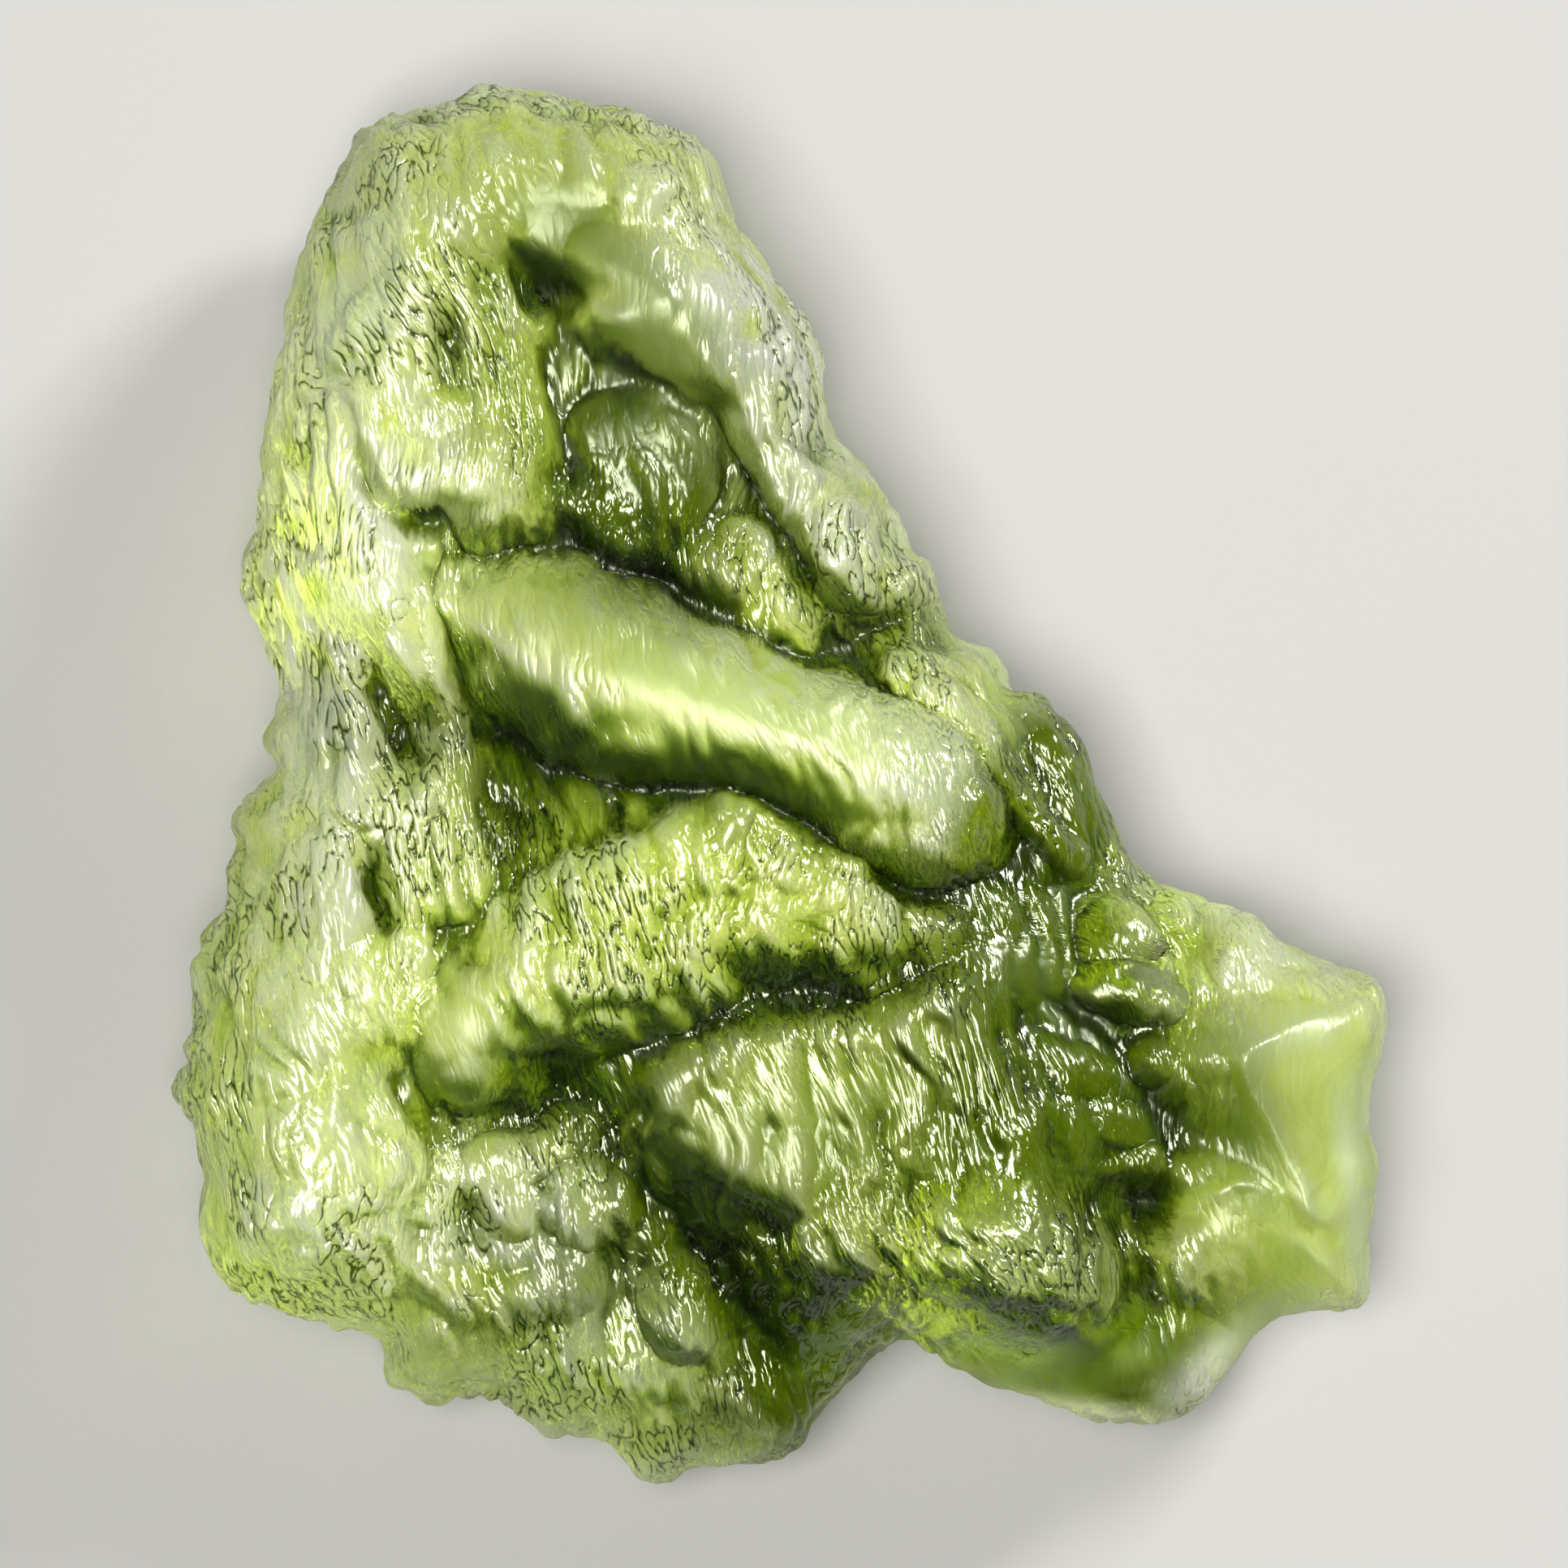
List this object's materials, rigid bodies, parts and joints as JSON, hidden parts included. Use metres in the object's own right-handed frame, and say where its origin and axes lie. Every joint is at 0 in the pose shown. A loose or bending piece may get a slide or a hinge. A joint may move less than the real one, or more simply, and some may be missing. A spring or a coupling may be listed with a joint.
{
  "type": "moldavite",
  "caption": "Natural piece of green moldavite glass, corroded and rolled on its face, broken at one corner, lying flat on its worn back.",
  "frame": {"origin": "middle of the stone's footprint in X and Y, at the height of the surface it lies on", "axes": "+Y towards the stone's narrow top end, +X towards its broken corner, +Z out of its sculpted face"},
  "size_m": [0.0262, 0.0302, 0.0089],
  "materials": {
    "moldavite glass": "clear bottle-green natural glass, glossy and etched"
  },
  "bodies": {
    "root": {"moldavite": "moldavite glass"}
  },
  "joints": []
}
